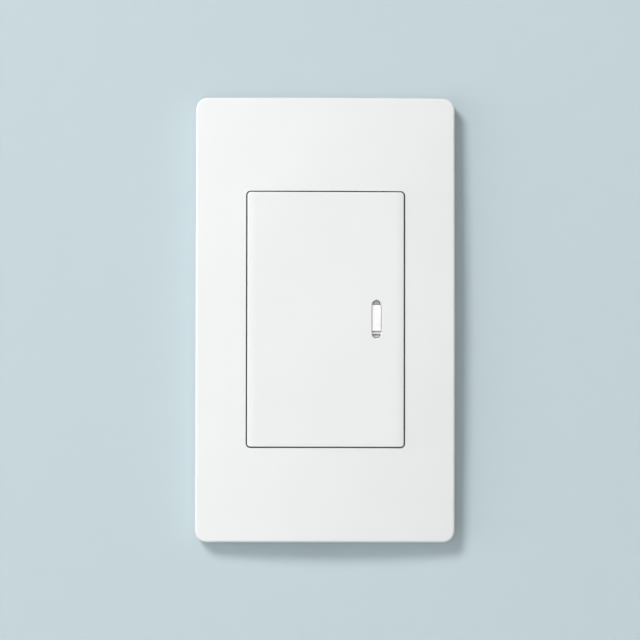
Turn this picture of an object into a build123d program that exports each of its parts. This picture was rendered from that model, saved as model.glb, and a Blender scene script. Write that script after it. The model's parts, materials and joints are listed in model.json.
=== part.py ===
from build123d import *
from math import asin, atan, cos, degrees, radians, sin, sqrt, tan
import os

# A one-gang wall switch with one wide paddle. A domed cover plate clips onto a plate base, which is
# screwed to a steel mounting frame. A moulded carrier snaps into the frame, hinges the paddle along its
# left side and holds the switch module. Each press of the paddle's right side pushes a plunger whose
# swinging finger tips a rocker over, and the rocker's sprung cap snaps the contact blade open or shut.
#
# X runs across the switch, Y runs into the wall and Z is up. The wall surface is the plane y = 0, so
# whatever stands in front of the wall has a negative depth. Lengths are in millimetres.

# ---------------------------------------------------------------- driving dimensions
WALL_PLANE = 0.0
FIT = 0.05                    # gap between moulded pieces that only just clear each other
RUNNING = 0.04                # radial clearance of a pin that turns in its hole

PLATE_WIDTH = 70.0
PLATE_HEIGHT = 120.0
PLATE_CORNER = 3.2
COVER_APEX = -8.3             # depth that the crown would have in the middle of the opening
COVER_BACK = -1.1             # depth of the cover plate's rear edge
COVER_WALL = 2.0
COVER_CROWN = (323.0, 1286.0)  # radius of the crown across the plate, and down it
COVER_EDGE = 0.65             # rounding of the cover plate's front edge
COVER_DRAFT = 1.0             # degrees that the plate's sides lean in towards the front
OPENING_WIDTH = 42.9
OPENING_HEIGHT = 69.3
OPENING_CORNER = 1.25
COLLAR_WALL = 1.3
COLLAR_BACK = -3.1
COVER_RIB_BACK = -5.2

BASE_FLANGE = 1.0             # thickness of the flange that lies on the wall
BASE_INSET = 0.3              # how far the flange stands back from the cover plate's outline
BASE_FRONT = -3.0             # front of the base's panel
BASE_RIM_FRONT = -3.2
BASE_RIM_WALL = 1.4
BASE_OPENING = (44.8, 71.4)   # width and height of the hole round the carrier
CATCH_WIDTH = 7.0
CARRIER_CLEARANCE = 0.4       # between the base's opening and the carrier's floor

FRAME_WIDTH = 42.0
FRAME_HEIGHT = 104.0
FRAME_SHEET = 1.2
FRAME_WINDOW_WIDTH = 24.6
FRAME_WINDOW_HEIGHT = 67.0
FRAME_FLANGE_BACK = 4.0
BOX_SCREW_SPACING = 83.5
PLATE_SCREW_SPACING = 96.8
BOX_SCREW_RADIUS = 2.0
BOX_SCREW_LENGTH = 25.0
BOX_SCREW_NECK = 0.4          # depth at which the thread starts
THREAD_ROOT = 0.81            # root radius of a metric thread, as a share of its outer radius
PLATE_SCREW_RADIUS = 1.75
PLATE_SCREW_LENGTH = 6.0

PADDLE_GAP = (0.38, 0.33)     # gap between the paddle and the opening at its sides, and at its ends
PADDLE_WIDTH = OPENING_WIDTH - 2 * PADDLE_GAP[0]
PADDLE_HEIGHT = OPENING_HEIGHT - 2 * PADDLE_GAP[1]
PADDLE_CORNER = 0.9
PADDLE_APEX = -8.35
PADDLE_WALL = 1.6
PADDLE_CROWN = (900.0, 2600.0)
PADDLE_SHOULDER = (2.3, 12.0)  # width and radius of the soft turn-down along each side
PADDLE_EDGE = 0.28            # rounding of its outer front edge
PADDLE_SKIRT_BACK = -4.87
PADDLE_RIB_BACK = -5.9
HINGE_X = -17.2
HINGE_Y = -4.3
HINGE_Z = 20.0                # height of the outer face of each hinge post
TRUNNION_RADIUS = 1.0
PRESS_ANGLE = 3.6             # degrees that the paddle turns when it is pressed home

LENS_X = 13.7
LENS_WIDTH = 2.7
LENS_HEIGHT = 10.6
LENS_FIT = 0.02               # the lens is pressed into its pocket
LENS_POCKET_FLOOR = -7.35
LENS_LEG_Z = 3.95             # height of the flat side of each D-shaped leg
LENS_LEG_INSET = 0.25         # from the lens's outline to the leg's
LENS_SOCKET_FLOOR = -6.6
STRIP_WIDTH = 2.3
STRIP_ENDS = (-3.12, 3.85)    # heights of its lower and upper end
STRIP_THICKNESS = 0.5

MODULE_WIDTH = 23.6
MODULE_HEIGHT = 21.4
MODULE_BACK = 25.0
MODULE_WALL = 1.2
PLUNGER_X = 6.5               # the plunger, finger, rocker and blade share this plane
PLUNGER_FRONT = -5.5
CREST_RADIUS = 1.2            # rounded crest under the paddle that pushes the plunger

FINGER_PIVOT_Y = 0.6
FINGER_DROP = 5.7             # depth from the finger's pivot to its tip when it leans over
ROCKER_TILT = 12.0            # degrees to either side of level
NOTCH_Z = 2.2
NOTCH_RISE = 2.85             # notch above the axle when the rocker is level
NOTCH_GAP = 0.2               # left between the finger's tip and the notch when it is pushed home
CAP_REACH = 6.5               # axle to the tip of the cap
CAP_NOSE = 0.8
BLADE_TILT = 7.0              # degrees to either side of level
BLADE_SHEET = 0.6
KEEL_RADIUS = 0.35
BLADE_CAP_GAP = 0.09          # left between the cap and the blade, level or tilted
TERMINAL_SHEET = 0.8
WIRE_HOLE_RADIUS = 1.4
WIRE_Z = 6.4
WIRE_X = (-8.2, -3.2)
BUTTON_X = -5.7
BUTTON_TRAVEL = 1.0
CORE_HEIGHT = 5.2             # height of each cored-out pocket in the case's rear wall
CORE_DEPTH = 1.0
STRIP_GAUGE = 9.0             # length of bare wire that the terminals take

# ---------------------------------------------------------------- worked-out places
CARRIER_FLOOR_BACK = WALL_PLANE - FRAME_SHEET
CARRIER_FLOOR_FRONT = CARRIER_FLOOR_BACK - 1.2
PADDLE_INSIDE = PADDLE_APEX + PADDLE_WALL
press = radians(PRESS_ANGLE)
crest_y = PLUNGER_FRONT - FIT - CREST_RADIUS - HINGE_Y      # crest centre, from the hinge line
STROKE = (PLUNGER_X - HINGE_X) * sin(press) + crest_y * (cos(press) - 1)
notch_y = -NOTCH_RISE * cos(radians(ROCKER_TILT)) + NOTCH_Z * sin(radians(ROCKER_TILT))
notch_z = NOTCH_RISE * sin(radians(ROCKER_TILT)) + NOTCH_Z * cos(radians(ROCKER_TILT))
AXLE_Y = FINGER_PIVOT_Y + STROKE + FINGER_DROP + NOTCH_GAP - notch_y
FINGER_LEAN = degrees(atan(notch_z / FINGER_DROP))
FINGER_LENGTH = sqrt(notch_z**2 + FINGER_DROP**2)
BLADE_FRONT_Y = AXLE_Y + CAP_REACH + BLADE_CAP_GAP          # bottom of the blade's valley
KEEL_Y = BLADE_FRONT_Y + BLADE_SHEET                        # line that the blade rocks on
INNER_X = MODULE_WIDTH / 2 - MODULE_WALL
INNER_Z = MODULE_HEIGHT / 2 - MODULE_WALL
BACK_WALL_FRONT = MODULE_BACK - 2.4
HOUSING_FRONT = 0.9
TIP_Z = 6.9                                                 # height of the contact tips


# ---------------------------------------------------------------- shared forms
def panel(width, height, corner, front, back, x=0.0, z=0.0):
    """Rounded rectangle in front view, filling the depths from front to back."""
    outline = RectangleRounded(width, height, corner) if corner else Rectangle(width, height)
    return extrude(Plane.XZ.offset(-back) * Pos(x, z) * outline, amount=back - front)


def block(x, y, z):
    """Box between limits, each given as a (low, high) pair."""
    spans = (x, y, z)
    middle = [(low + high) / 2 for low, high in spans]
    return Pos(*middle) * Box(*[high - low for low, high in spans])


def rod(radius, start, end):
    """Round bar from one point to another."""
    along = Vector(*end) - Vector(*start)
    bar = Cylinder(radius, along.length, align=(Align.CENTER, Align.CENTER, Align.MIN))
    return Plane(origin=start, z_dir=along) * bar


def across(profile, low, high):
    """Profile drawn in depth and height, filling the widths from low to high."""
    return extrude(Plane.YZ.offset(low) * profile, amount=high - low)


def both_ends(piece):
    """The piece together with its mirror image about mid height."""
    return piece + mirror(piece, about=Plane.XY)


def around(profile, apex, radius, height):
    """Profile drawn in X and depth, carried round a circle of that radius behind the apex."""
    hub = Axis((0, apex + radius, 0), (1, 0, 0))
    swing = degrees(asin(height / 2 / radius))
    return revolve(profile.rotate(hub, -swing), hub, 2 * swing)


def arc_about(hub, radius, low, high):
    """Arc between two angles, both measured at its hub from the line that points out of the wall."""
    angles = (low, (low + high) / 2, high)
    return ThreePointArc(*[(hub[0] + radius * sin(a), hub[1] - radius * cos(a)) for a in angles])


def crowned_block(width, height, corner, apex, crown, back, draft=0.0, shoulder=None):
    """Rounded block whose front is an arc across it, carried round a larger arc down it. A shoulder,
    given by its width and radius, is a tighter arc that carries on from the crown along each side."""
    reach = width / 2 - shoulder[0] if shoulder else 0.6 * width
    lean = asin(reach / crown[0])
    front = arc_about((0, apex + crown[0]), crown[0], -lean, lean)
    if shoulder:
        inward = crown[0] - shoulder[1]
        hub = (inward * sin(lean), apex + crown[0] - inward * cos(lean))
        side = arc_about(hub, shoulder[1], lean, asin((0.52 * width - hub[0]) / shoulder[1]))
        front += side + mirror(side, about=Plane.YZ)
    ends = sorted(front.vertices(), key=lambda v: v.X)
    low, high = (ends[0].X, ends[0].Y), (ends[-1].X, ends[-1].Y)
    behind = Polyline(high, (high[0], back + 8), (low[0], back + 8), low)
    dome = around(make_face(front + behind), apex, crown[1], 1.2 * height)
    outline = Plane.XZ.offset(-back) * RectangleRounded(width, height, corner)
    return extrude(outline, amount=back - apex + 1, taper=draft) & dome


def front_face(solid):
    """Largest face that looks out of the wall."""
    looking_out = [f for f in solid.faces() if f.normal_at().Y < -0.9]
    return max(looking_out, key=lambda f: f.area)


def coil(radius, wire, turns, start, end):
    """Compression spring between two points, its wire drawn with six flats."""
    along = Vector(*end) - Vector(*start)
    lift = along.length - wire
    helix = Helix(pitch=lift / turns, height=lift, radius=radius)
    section = Plane(origin=helix @ 0, z_dir=helix % 0) * RegularPolygon(wire / 2, 6)
    body = Pos(0, 0, wire / 2) * sweep(section, path=helix, is_frenet=True)
    return Plane(origin=start, z_dir=along) * body


# ---------------------------------------------------------------- cover plate and base
CATCHES_TOP = [-20.0, 20.0]
CATCHES_SIDE = [-38.0, 0.0, 38.0]


def catch_blocks(inset, depth, width, front, back):
    """One small block for each catch round the plate, starting inset from its outline."""
    blocks = []
    for sign in (-1, 1):
        for x in CATCHES_TOP:
            edge = sign * (PLATE_HEIGHT / 2 - inset)
            z = sorted((edge, edge - sign * depth))
            blocks.append(block((x - width / 2, x + width / 2), (front, back), z))
        for z in CATCHES_SIDE:
            edge = sign * (PLATE_WIDTH / 2 - inset)
            x = sorted((edge, edge - sign * depth))
            blocks.append(block(x, (front, back), (z - width / 2, z + width / 2)))
    return blocks


def make_cover_plate():
    outer = crowned_block(PLATE_WIDTH, PLATE_HEIGHT, PLATE_CORNER, COVER_APEX, COVER_CROWN,
                          COVER_BACK, draft=COVER_DRAFT)
    hollow = crowned_block(PLATE_WIDTH - 2 * COVER_WALL + 0.4, PLATE_HEIGHT - 2 * COVER_WALL + 0.4,
                           PLATE_CORNER - 1.4, COVER_APEX + COVER_WALL, COVER_CROWN, COVER_BACK + 0.5)
    inside = panel(OPENING_WIDTH + 2 * COLLAR_WALL, OPENING_HEIGHT + 2 * COLLAR_WALL,
                   OPENING_CORNER + 1, COVER_APEX, COLLAR_BACK)
    rib = 0.4
    for sign in (-1, 1):
        for x in (-24, -12, 12, 24):
            z = sorted((sign * (OPENING_HEIGHT / 2 + 0.5), sign * (PLATE_HEIGHT / 2 - 1.5)))
            inside += block((x - rib, x + rib), (COVER_APEX, COVER_RIB_BACK), z)
        for z in (-28, -12, 12, 28):
            x = sorted((sign * (OPENING_WIDTH / 2 + 0.5), sign * (PLATE_WIDTH / 2 - 1.5)))
            inside += block(x, (COVER_APEX, COVER_RIB_BACK), (z - rib, z + rib))
    rounded = fillet(front_face(outer).edges(), COVER_EDGE)
    cover = (rounded - hollow) + (inside & (rounded - panel(500, 500, 0, -20, COVER_APEX + 0.01)))
    for nub in catch_blocks(1.7, 1.1, CATCH_WIDTH, -2.3, -1.5):
        cover += nub
    cover -= panel(OPENING_WIDTH, OPENING_HEIGHT, OPENING_CORNER, -20, 5)
    pry_notch = block((-4, 4), (-1.9, 0), (-PLATE_HEIGHT / 2 - 1, -PLATE_HEIGHT / 2 + 1.2))
    return cover - pry_notch


def make_plate_base():
    inset = 2 * BASE_INSET
    rim_width = PLATE_WIDTH - 2 * COVER_WALL
    rim_height = PLATE_HEIGHT - 2 * COVER_WALL
    flange = panel(PLATE_WIDTH - inset, PLATE_HEIGHT - inset, PLATE_CORNER - BASE_INSET, -BASE_FLANGE, 0)
    flange -= panel(rim_width - 2 * BASE_RIM_WALL, rim_height - 2 * BASE_RIM_WALL, 1.0, -2, 1)
    rim = panel(rim_width, rim_height, 1.6, BASE_RIM_FRONT, -BASE_FLANGE)
    rim -= panel(rim_width - 2 * BASE_RIM_WALL, rim_height - 2 * BASE_RIM_WALL, 1.0, -9, 1)
    sheet = panel(rim_width, rim_height, 1.6, BASE_FRONT, CARRIER_FLOOR_BACK)
    sheet -= panel(*BASE_OPENING, 2.0, -9, 1)
    base = flange + rim + sheet
    for pocket in catch_blocks(1.8, 2.6, CATCH_WIDTH + 0.4, -2.45, -1.35):
        base -= pocket
    for x in (-22, 22):
        window = panel(10, 7, 0, -9, 1, x=x, z=46.5)
        window += panel(6, 10, 0, -9, 1, x=x * 1.22, z=31)
        base -= both_ends(window)
    screw_slot = panel(7.8, 11, 0, -9, 1, z=BOX_SCREW_SPACING / 2 - 5.5)
    screw_slot += rod(3.9, (0, -9, BOX_SCREW_SPACING / 2), (0, 1, BOX_SCREW_SPACING / 2))
    screw_hole = rod(1.95, (0, -9, PLATE_SCREW_SPACING / 2), (0, 1, PLATE_SCREW_SPACING / 2))
    return base - both_ends(screw_slot) - both_ends(screw_hole)


def make_plate_screws():
    """Two pan-head machine screws that hold the plate base on the frame."""
    z = PLATE_SCREW_SPACING / 2
    head = Pos(0, BASE_FRONT - 0.8, z) * Rot(90, 0, 0) * Cylinder(2.75, 1.6)
    head = chamfer(head.faces().sort_by(Axis.Y)[0].edges(), 0.6)
    tip = BASE_FRONT + PLATE_SCREW_LENGTH
    shank = rod(PLATE_SCREW_RADIUS - 0.35, (0, BASE_FRONT, z), (0, tip, z))
    recess = block((-0.35, 0.35), (-6, -3.9), (z - 1.5, z + 1.5))
    recess += block((-1.5, 1.5), (-6, -3.9), (z - 0.35, z + 0.35))
    screw = head + chamfer(shank.faces().sort_by(Axis.Y)[-1].edges(), 0.4) - recess
    return both_ends(screw)


# ---------------------------------------------------------------- mounting frame and its screws
def make_mounting_frame():
    """Steel strap with two flanges folded back along its window, and claw holes in the flanges."""
    front = WALL_PLANE - FRAME_SHEET
    strap = panel(FRAME_WIDTH, 82, 2.5, front, WALL_PLANE) + panel(34, FRAME_HEIGHT, 3, front, WALL_PLANE)
    flange = block((FRAME_WINDOW_WIDTH / 2, FRAME_WINDOW_WIDTH / 2 + FRAME_SHEET),
                   (front, FRAME_FLANGE_BACK), (-31.5, 31.5))
    for z in (-22, 0, 22):
        flange -= block((10, 20), (1.4, 2.8), (z - 2.5, z + 2.5))
    # slotted holes for panelling screws, keyways for snap-in modules, and a notch that marks mid height
    holes = extrude(Plane.XZ.offset(-5) * Pos(14.6, 37.2) * SlotOverall(7.0, 3.2), amount=10)
    holes += panel(2.0, 5.0, 0, -5, 5, x=15.8, z=27)
    holes += rod(1.6, (FRAME_WIDTH / 2 + 0.4, -5, 0), (FRAME_WIDTH / 2 + 0.4, 5, 0))
    strap -= both_ends(holes + mirror(holes, about=Plane.YZ))
    strap -= panel(FRAME_WINDOW_WIDTH, FRAME_WINDOW_HEIGHT, 1.0, -5, 5)
    strap += flange + mirror(flange, about=Plane.YZ)
    z = BOX_SCREW_SPACING / 2
    slot = extrude(Plane.XZ.offset(-5) * Pos(0, z) * SlotOverall(9.0, 4.6), amount=10)
    z = PLATE_SCREW_SPACING / 2
    tapped = rod(PLATE_SCREW_RADIUS - 0.3, (0, -5, z), (0, 5, z))
    return strap - both_ends(slot) - both_ends(tapped)


def make_box_screws():
    """Two pan-head screws that fasten the frame to the wall box."""
    z = BOX_SCREW_SPACING / 2
    seat = WALL_PLANE - FRAME_SHEET
    head = Pos(0, seat - 1.2, z) * Rot(90, 0, 0) * Cylinder(3.6, 2.4)
    head = chamfer(head.faces().sort_by(Axis.Y)[0].edges(), 0.9)
    neck = rod(THREAD_ROOT * BOX_SCREW_RADIUS, (0, seat, z), (0, 1, z))
    shank = rod(BOX_SCREW_RADIUS, (0, BOX_SCREW_NECK, z), (0, seat + BOX_SCREW_LENGTH, z))
    recess = block((-0.45, 0.45), (-6, -2.1), (z - 2, z + 2))
    recess += block((-2, 2), (-6, -2.1), (z - 0.45, z + 0.45))
    screw = head + neck + chamfer(shank.faces().sort_by(Axis.Y)[-1].edges(), 0.8) - recess
    return both_ends(screw)


# ---------------------------------------------------------------- carrier
def make_handle_carrier():
    """Moulded tray that snaps into the frame's window, hinges the paddle and holds the module."""
    width, height = [size - 2 * CARRIER_CLEARANCE for size in BASE_OPENING]
    floor = panel(width, height, 1.6, CARRIER_FLOOR_FRONT, CARRIER_FLOOR_BACK)
    guide = panel(37.6, 64.4, 1.2, -3.5, CARRIER_FLOOR_FRONT) - panel(35.4, 62.2, 0.6, -9, 1)
    carrier = floor + guide
    carrier += panel(24.2, 66.4, 0.8, CARRIER_FLOOR_BACK, 1.6) - panel(21.8, 64.0, 0.4, -9, 9)
    carrier -= block((-20, 20), (CARRIER_FLOOR_BACK, 5), (-12.6, 12.6))
    carrier -= panel(22.4, 20.4, 0.6, -9, 9)
    for side in (-1, 1):
        nose = block(sorted((side * 4, side * 9)), (0.05, 0.9), (33.1, 34.3))
        carrier += both_ends(nose)
        arm = block(sorted((side * 6.5, side * 9.5)), (CARRIER_FLOOR_BACK, 2.0), (11.3, 12.3))
        arm += block(sorted((side * 6.5, side * 9.5)), (HOUSING_FRONT + FIT, 2.0), (10.8, 11.3))
        carrier += both_ends(arm)
        claw = block(sorted((side * 12.0, side * 12.9)), (1.5, 2.1), (20.3, 23.7))
        claw += block(sorted((side * 11, side * 12.1)), (CARRIER_FLOOR_BACK, 2.1), (20.3, 23.7))
        carrier += both_ends(claw)
    # the two hinge posts stand where the guide wall is broken
    carrier -= both_ends(block((-20, -14.6), (-9, CARRIER_FLOOR_FRONT), (HINGE_Z - 4, HINGE_Z + 3.4)))
    post_height = (HINGE_Z - 2.8, HINGE_Z)
    post = block((HINGE_X - 1.9, HINGE_X + 1.9), (HINGE_Y - 1.2, CARRIER_FLOOR_FRONT), post_height)
    post -= rod(TRUNNION_RADIUS + RUNNING, (HINGE_X, HINGE_Y, 0), (HINGE_X, HINGE_Y, 40))
    post -= block((HINGE_X - 0.85, HINGE_X + 0.85), (-9, HINGE_Y), (HINGE_Z - 4, HINGE_Z + 4))
    carrier += both_ends(post)
    # the floor is cored out behind, above and below the module, which leaves a grid of ribs
    cores = [(-7.2, 16.4), (0.0, 16.4)] + [(x, z) for x in (-7.2, 0.0, 7.2) for z in (22.6, 28.8)]
    for x, z in cores:
        carrier -= both_ends(panel(6.2, 5.2, 0, CARRIER_FLOOR_BACK - 0.5, CARRIER_FLOOR_BACK, x=x, z=z))
    hook_hole = block((8.9, 10.7), (-9, 9), (13.6, 18.4))
    return carrier - both_ends(hook_hole)


# ---------------------------------------------------------------- paddle and its window
def paddle_blank():
    """Shallow crowned key with a soft shoulder along each side and a rounded outer edge."""
    blank = crowned_block(PADDLE_WIDTH, PADDLE_HEIGHT, PADDLE_CORNER, PADDLE_APEX, PADDLE_CROWN,
                          PADDLE_SKIRT_BACK, shoulder=PADDLE_SHOULDER)
    side, end = PADDLE_WIDTH / 2 - 1, PADDLE_HEIGHT / 2 - 1
    front = [edge for edge in blank.edges() if edge.center().Y < PADDLE_INSIDE]
    rim = [edge for edge in front if abs(edge.center().X) > side or abs(edge.center().Z) > end]
    return fillet(rim, PADDLE_EDGE)


def make_paddle():
    """Wide key, hollow behind, with stiffening ribs, hinge ears, hooks and the crest of the drive."""
    half, top = PADDLE_WIDTH / 2, PADDLE_HEIGHT / 2
    wall = 2 * PADDLE_WALL
    paddle = paddle_blank()
    paddle -= panel(PADDLE_WIDTH - wall, PADDLE_HEIGHT - wall, 0.6, PADDLE_INSIDE, 5)
    for z in (-28, -9, 9, 28):
        paddle += block((-half + 1, half - 1), (PADDLE_INSIDE - 0.3, PADDLE_RIB_BACK), (z - 0.5, z + 0.5))
    for x in (-10, 0):
        paddle += block((x - 0.5, x + 0.5), (PADDLE_INSIDE - 0.3, PADDLE_RIB_BACK), (-top + 1, top - 1))

    # hinge ears with their inward trunnions
    ear_height = (HINGE_Z + 0.4, HINGE_Z + 2.2)
    ear = rod(1.7, (HINGE_X, HINGE_Y, ear_height[0]), (HINGE_X, HINGE_Y, ear_height[1]))
    ear += block((HINGE_X - 1.7, HINGE_X + 1.7), (PADDLE_INSIDE - 0.3, HINGE_Y), ear_height)
    ear += rod(TRUNNION_RADIUS, (HINGE_X, HINGE_Y, HINGE_Z - 3.0), (HINGE_X, HINGE_Y, HINGE_Z + 1))
    paddle += both_ends(ear)

    # crest that pushes the plunger, and the hooks that stop the paddle at rest
    crest_depth = HINGE_Y + crest_y
    paddle += rod(CREST_RADIUS, (PLUNGER_X, crest_depth, -4), (PLUNGER_X, crest_depth, 4))
    hook = block((9.2, 10.2), (PADDLE_INSIDE - 0.3, -0.3), (14, 18))
    hook += block((8.3, 9.3), (CARRIER_FLOOR_BACK + FIT, -0.3), (14, 18))
    paddle += both_ends(hook)

    # pocket for the indicator, and two bosses with blind sockets for the lens's legs
    boss_back = LENS_SOCKET_FLOOR + 0.6
    paddle += both_ends(panel(3.7, 2.9, 1.3, PADDLE_INSIDE - 0.3, boss_back, x=LENS_X, z=4.45))
    pocket = extrude(Plane.XZ.offset(-LENS_POCKET_FLOOR) * lens_outline(0), amount=5)
    sockets = extrude(Plane.XZ.offset(-LENS_SOCKET_FLOOR) * leg_outlines(0), amount=5)
    return paddle - pocket - sockets


def lens_outline(inset):
    """Upright slot shape at the indicator's place, drawn that far inside the lens's outline."""
    slot = SlotOverall(LENS_HEIGHT - 2 * inset, LENS_WIDTH - 2 * inset)
    return Pos(LENS_X, 0) * Rot(0, 0, 90) * slot


def leg_outlines(clearance):
    """The two D shapes of the lens's legs, one at each end of the slot."""
    middle = Rectangle(2 * LENS_WIDTH, 2 * (LENS_LEG_Z + clearance))
    return lens_outline(LENS_LEG_INSET + clearance) - Pos(LENS_X, 0) * middle


def make_indicator_lens():
    """Clear slot-shaped lens flush with the paddle, hollowed for the strip, on two D-shaped legs."""
    back = LENS_POCKET_FLOOR - LENS_FIT
    face = crowned_block(PADDLE_WIDTH, PADDLE_HEIGHT, 1.0, PADDLE_APEX + 0.03, PADDLE_CROWN, 0)
    lens = extrude(Plane.XZ.offset(-back) * lens_outline(LENS_FIT), amount=3) & face
    tip = LENS_SOCKET_FLOOR - FIT
    legs = extrude(Plane.XZ.offset(-tip) * leg_outlines(LENS_FIT), amount=tip - back + 0.3)
    hollow = luminous_block(0.06)
    return lens + legs - hollow


def luminous_block(clearance):
    """Thin block on the pocket's floor, larger than the strip by that clearance on every side."""
    low, high = STRIP_ENDS
    return panel(STRIP_WIDTH + 2 * clearance, high - low + 2 * clearance, 0.2,
                 LENS_POCKET_FLOOR - STRIP_THICKNESS - clearance, LENS_POCKET_FLOOR,
                 x=LENS_X, z=(low + high) / 2)


def make_luminous_strip():
    """White afterglow insert that lies on the pocket's floor, under the lens."""
    return luminous_block(0)


# ---------------------------------------------------------------- switch module: case
def make_module_cover():
    """Front half of the module's case, which guides the plunger."""
    cover = panel(22.0, 20.0, 0.8, -3.4, CARRIER_FLOOR_BACK)
    cover += panel(24.0, 22.4, 0.8, CARRIER_FLOOR_BACK, HOUSING_FRONT)
    cover -= panel(19.6, 17.6, 0.4, -2.2, 5)
    cover -= panel(6.8, 9.2, 0.4, -9, 1, x=PLUNGER_X)
    tab = block((-2.5, 2.5), (-0.2, 5.6), (10.75, 11.5)) - block((-1.6, 1.6), (3.0, 4.7), (10, 12))
    return cover + both_ends(tab)


def make_module_housing():
    """Rear half of the case: wire holes, button slots and chambers for the working parts."""
    housing = panel(MODULE_WIDTH, MODULE_HEIGHT, 0.8, HOUSING_FRONT, MODULE_BACK)
    housing = chamfer(housing.faces().sort_by(Axis.Y)[-1].edges(), 0.5)
    housing -= panel(2 * INNER_X, 2 * INNER_Z, 0.4, HOUSING_FRONT - 1, BACK_WALL_FRONT)
    # the thick rear wall is cored out behind the working parts, and the strip gauge is a groove
    for z in (-CORE_HEIGHT - 1.2, 0, CORE_HEIGHT + 1.2):
        housing -= panel(8.2, CORE_HEIGHT, 0, MODULE_BACK - CORE_DEPTH, MODULE_BACK + 1, x=6.4, z=z)
    housing -= panel(STRIP_GAUGE, 0.9, 0, MODULE_BACK - 0.4, MODULE_BACK + 1, x=BUTTON_X + 0.4)
    # grip ribs down both sides
    for y in range(5, 21, 3):
        rib = block((MODULE_WIDTH / 2 - 0.1, MODULE_WIDTH / 2 + 0.35), (y, y + 1.0), (-7.5, 7.5))
        housing += rib + mirror(rib, about=Plane.YZ)
    # wall between the working parts and the wire clamps, with the boss that holds the axle's far end
    housing += block((0.4, 1.4), (9.0, BACK_WALL_FRONT), (-8.2, 8.2))
    housing += rod(2.4, (0.4, AXLE_Y, 0), (3.6, AXLE_Y, 0))
    # hollow post that backs the four wire-lock springs
    housing += block((-INNER_X, 0.5), (9.0, BACK_WALL_FRONT), (-2.6, 2.6))
    housing -= block((-INNER_X + 1, -0.5), (8.0, BACK_WALL_FRONT - 1), (-1.5, 1.5))
    # ledges under the two return springs, each with a locating stub
    ledge = block((3.3, 9.7), (5.6, 6.6), (4.0, INNER_Z + 0.3))
    ledge += rod(0.9, (PLUNGER_X, 4.7, 5.5), (PLUNGER_X, 6.0, 5.5))
    housing += both_ends(ledge)
    # wedges that the cover's tabs snap over
    wedge_line = Polyline((3.1, 10.6), (4.5, 10.6), (3.1, 11.4), close=True)
    housing += both_ends(across(make_face(wedge_line), -1.4, 1.4))
    housing -= rod(0.8, (2.0, AXLE_Y, 0), (MODULE_WIDTH / 2 - 0.4, AXLE_Y, 0))
    for x in WIRE_X:
        hole = rod(WIRE_HOLE_RADIUS, (x, 15, WIRE_Z), (x, 30, WIRE_Z))
        housing -= both_ends(hole)
    button_slot = block((BUTTON_X - 1.3, BUTTON_X + 1.3), (20, 30), (3.1, 5.9))
    return housing - both_ends(button_slot)


# ---------------------------------------------------------------- switch module: press and flip
def make_plunger():
    """Push piece under the paddle, with a flange for the return springs and a fork for the finger."""
    head = panel(6.6, 9.0, 0.4, PLUNGER_FRONT, -1.2, x=PLUNGER_X)
    head += panel(6.4, 14.0, 0.5, -2.15, -1.15, x=PLUNGER_X)
    head += both_ends(rod(0.9, (PLUNGER_X, -1.3, 5.5), (PLUNGER_X, -0.3, 5.5)))
    for side in (-1, 1):
        x = sorted((PLUNGER_X + side * 1.7, PLUNGER_X + side * 3.0))
        cheek = block(x, (-1.3, FINGER_PIVOT_Y), (-1.5, 1.5))
        cheek += rod(1.5, (x[0], FINGER_PIVOT_Y, 0), (x[1], FINGER_PIVOT_Y, 0))
        head += cheek
    return head - rod(0.6 + RUNNING, (0, FINGER_PIVOT_Y, 0), (12, FINGER_PIVOT_Y, 0))


def make_drive_finger():
    """Swinging finger between the plunger and the rocker, leaning on the lowered side."""
    nose = 0.5
    pivot = Pos(0, FINGER_PIVOT_Y, 0)
    blade = block((PLUNGER_X - 1.3, PLUNGER_X + 1.3), (0, FINGER_LENGTH - nose), (-nose, nose))
    blade += rod(nose, (PLUNGER_X - 1.3, FINGER_LENGTH - nose, 0), (PLUNGER_X + 1.3, FINGER_LENGTH - nose, 0))
    blade += rod(1.1, (PLUNGER_X - 1.6, 0, 0), (PLUNGER_X + 1.6, 0, 0))
    blade += rod(0.6, (PLUNGER_X - 2.9, 0, 0), (PLUNGER_X + 2.9, 0, 0))
    return pivot * Rot(FINGER_LEAN, 0, 0) * blade


def make_return_springs():
    spring = coil(1.3, 0.4, 4, (PLUNGER_X, -1.15, 5.5), (PLUNGER_X, 5.6, 5.5))
    return both_ends(spring)


def rocker_place():
    """Moves a piece drawn about the level axle to the rocker's place with the contacts open."""
    return Pos(PLUNGER_X, AXLE_Y, 0) * Rot(-ROCKER_TILT, 0, 0)


def make_flip_rocker():
    """Rocker with two notched shoulders in front and a sleeve for the sprung cap behind."""
    crown = Polyline((-2.85, 2.2), (-3.7, 3.6), (-2.5, 3.9), (0.2, 2.1), (0.2, -2.1), (-2.5, -3.9),
                     (-3.7, -3.6), (-2.85, -2.2), (-3.1, 0), close=True)
    rocker = across(make_face(crown), -2.5, 2.5) + rod(2.1, (-2.5, 0, 0), (2.5, 0, 0))
    rocker += rod(1.7, (0, 0.5, 0), (0, 4.6, 0))
    rocker -= rod(1.15, (0, 1.6, 0), (0, 5, 0))
    rocker -= rod(0.8 + RUNNING, (-4, 0, 0), (4, 0, 0))
    return rocker_place() * rocker


def make_rocker_axle():
    return rod(0.8, (2.0, AXLE_Y, 0), (MODULE_WIDTH / 2 - 0.4, AXLE_Y, 0))


def make_contact_cap():
    """Round-nosed cap that slides in the rocker's sleeve."""
    cap = rod(1.07, (0, 3.6, 0), (0, CAP_REACH - CAP_NOSE, 0))
    cap = cap + Pos(0, CAP_REACH - CAP_NOSE, 0) * Sphere(CAP_NOSE)
    return rocker_place() * cap


def make_contact_spring():
    return rocker_place() * coil(0.8, 0.3, 3, (0, 1.6, 0), (0, 3.6, 0))


# ---------------------------------------------------------------- switch module: contacts
def blade_place():
    """Moves a piece drawn about the level keel to the blade's place with the contacts open."""
    return Pos(PLUNGER_X, KEEL_Y, 0) * Rot(BLADE_TILT, 0, 0)


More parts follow.
